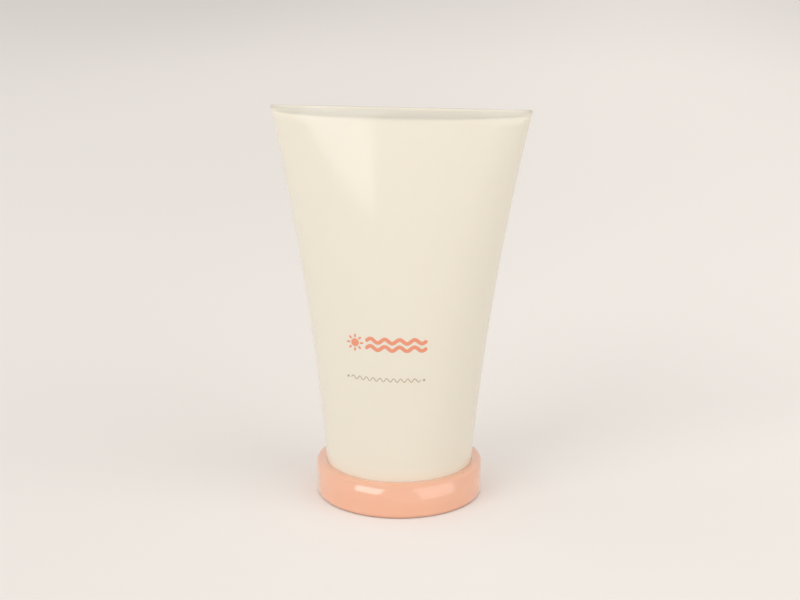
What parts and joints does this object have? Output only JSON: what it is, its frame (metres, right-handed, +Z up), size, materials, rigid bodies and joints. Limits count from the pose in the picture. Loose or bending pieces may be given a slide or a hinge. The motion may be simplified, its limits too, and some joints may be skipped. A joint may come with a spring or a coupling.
{
  "type": "sunscreen squeeze tube",
  "caption": "Squeeze tube, round at the base and widening to a flat sealed tail, standing on a low screw cap with a rounded ring; threaded neck, orifice plug, foil and liner inside.",
  "frame": {"origin": "centre of the foot ring of the cap, on the floor, below the middle of the object's box", "axes": "+Z up along the screw's axis to the sealed tail, X along the sealed edge, and the printed front faces -Y"},
  "size_m": [0.0552, 0.036, 0.0844],
  "materials": {
    "cap_peach": "glossy moulded plastic, peach",
    "insert_white": "plain moulded plastic, warm white",
    "liner_foam": "soft closed-cell foam",
    "head_white": "plain moulded plastic, warm white",
    "orifice_white": "plain moulded plastic, white",
    "seal_foil": "bright rolled foil",
    "tube_cream": "satin-gloss lacquered tube, cream",
    "lotion": "thick white lotion",
    "print_coral": "screen-printed ink, coral",
    "print_grey": "screen-printed ink, warm grey"
  },
  "bodies": {
    "cap": {"cap_shell": "cap_peach", "cap_insert": "insert_white"},
    "liner": {"cap_liner": "liner_foam"},
    "tube": {"tube_head": "head_white", "orifice_insert": "orifice_white", "foil_seal": "seal_foil", "tube_sleeve": "tube_cream", "sun_lotion": "lotion"}
  },
  "joints": [
    {"name": "unscrew", "type": "hinge", "parent": "cap", "child": "liner", "pos_m": [0, 0, 0], "axis": [0, 0, 1], "range_deg": [0, 540]},
    {"name": "thread_rise", "type": "slide", "parent": "liner", "child": "tube", "axis": [0, 0, 1], "range_m": [0, 0.0031]}
  ],
  "couplings": [
    {"joint": "thread_rise", "follows": "unscrew", "m_per_rad": 0.00031831}
  ]
}
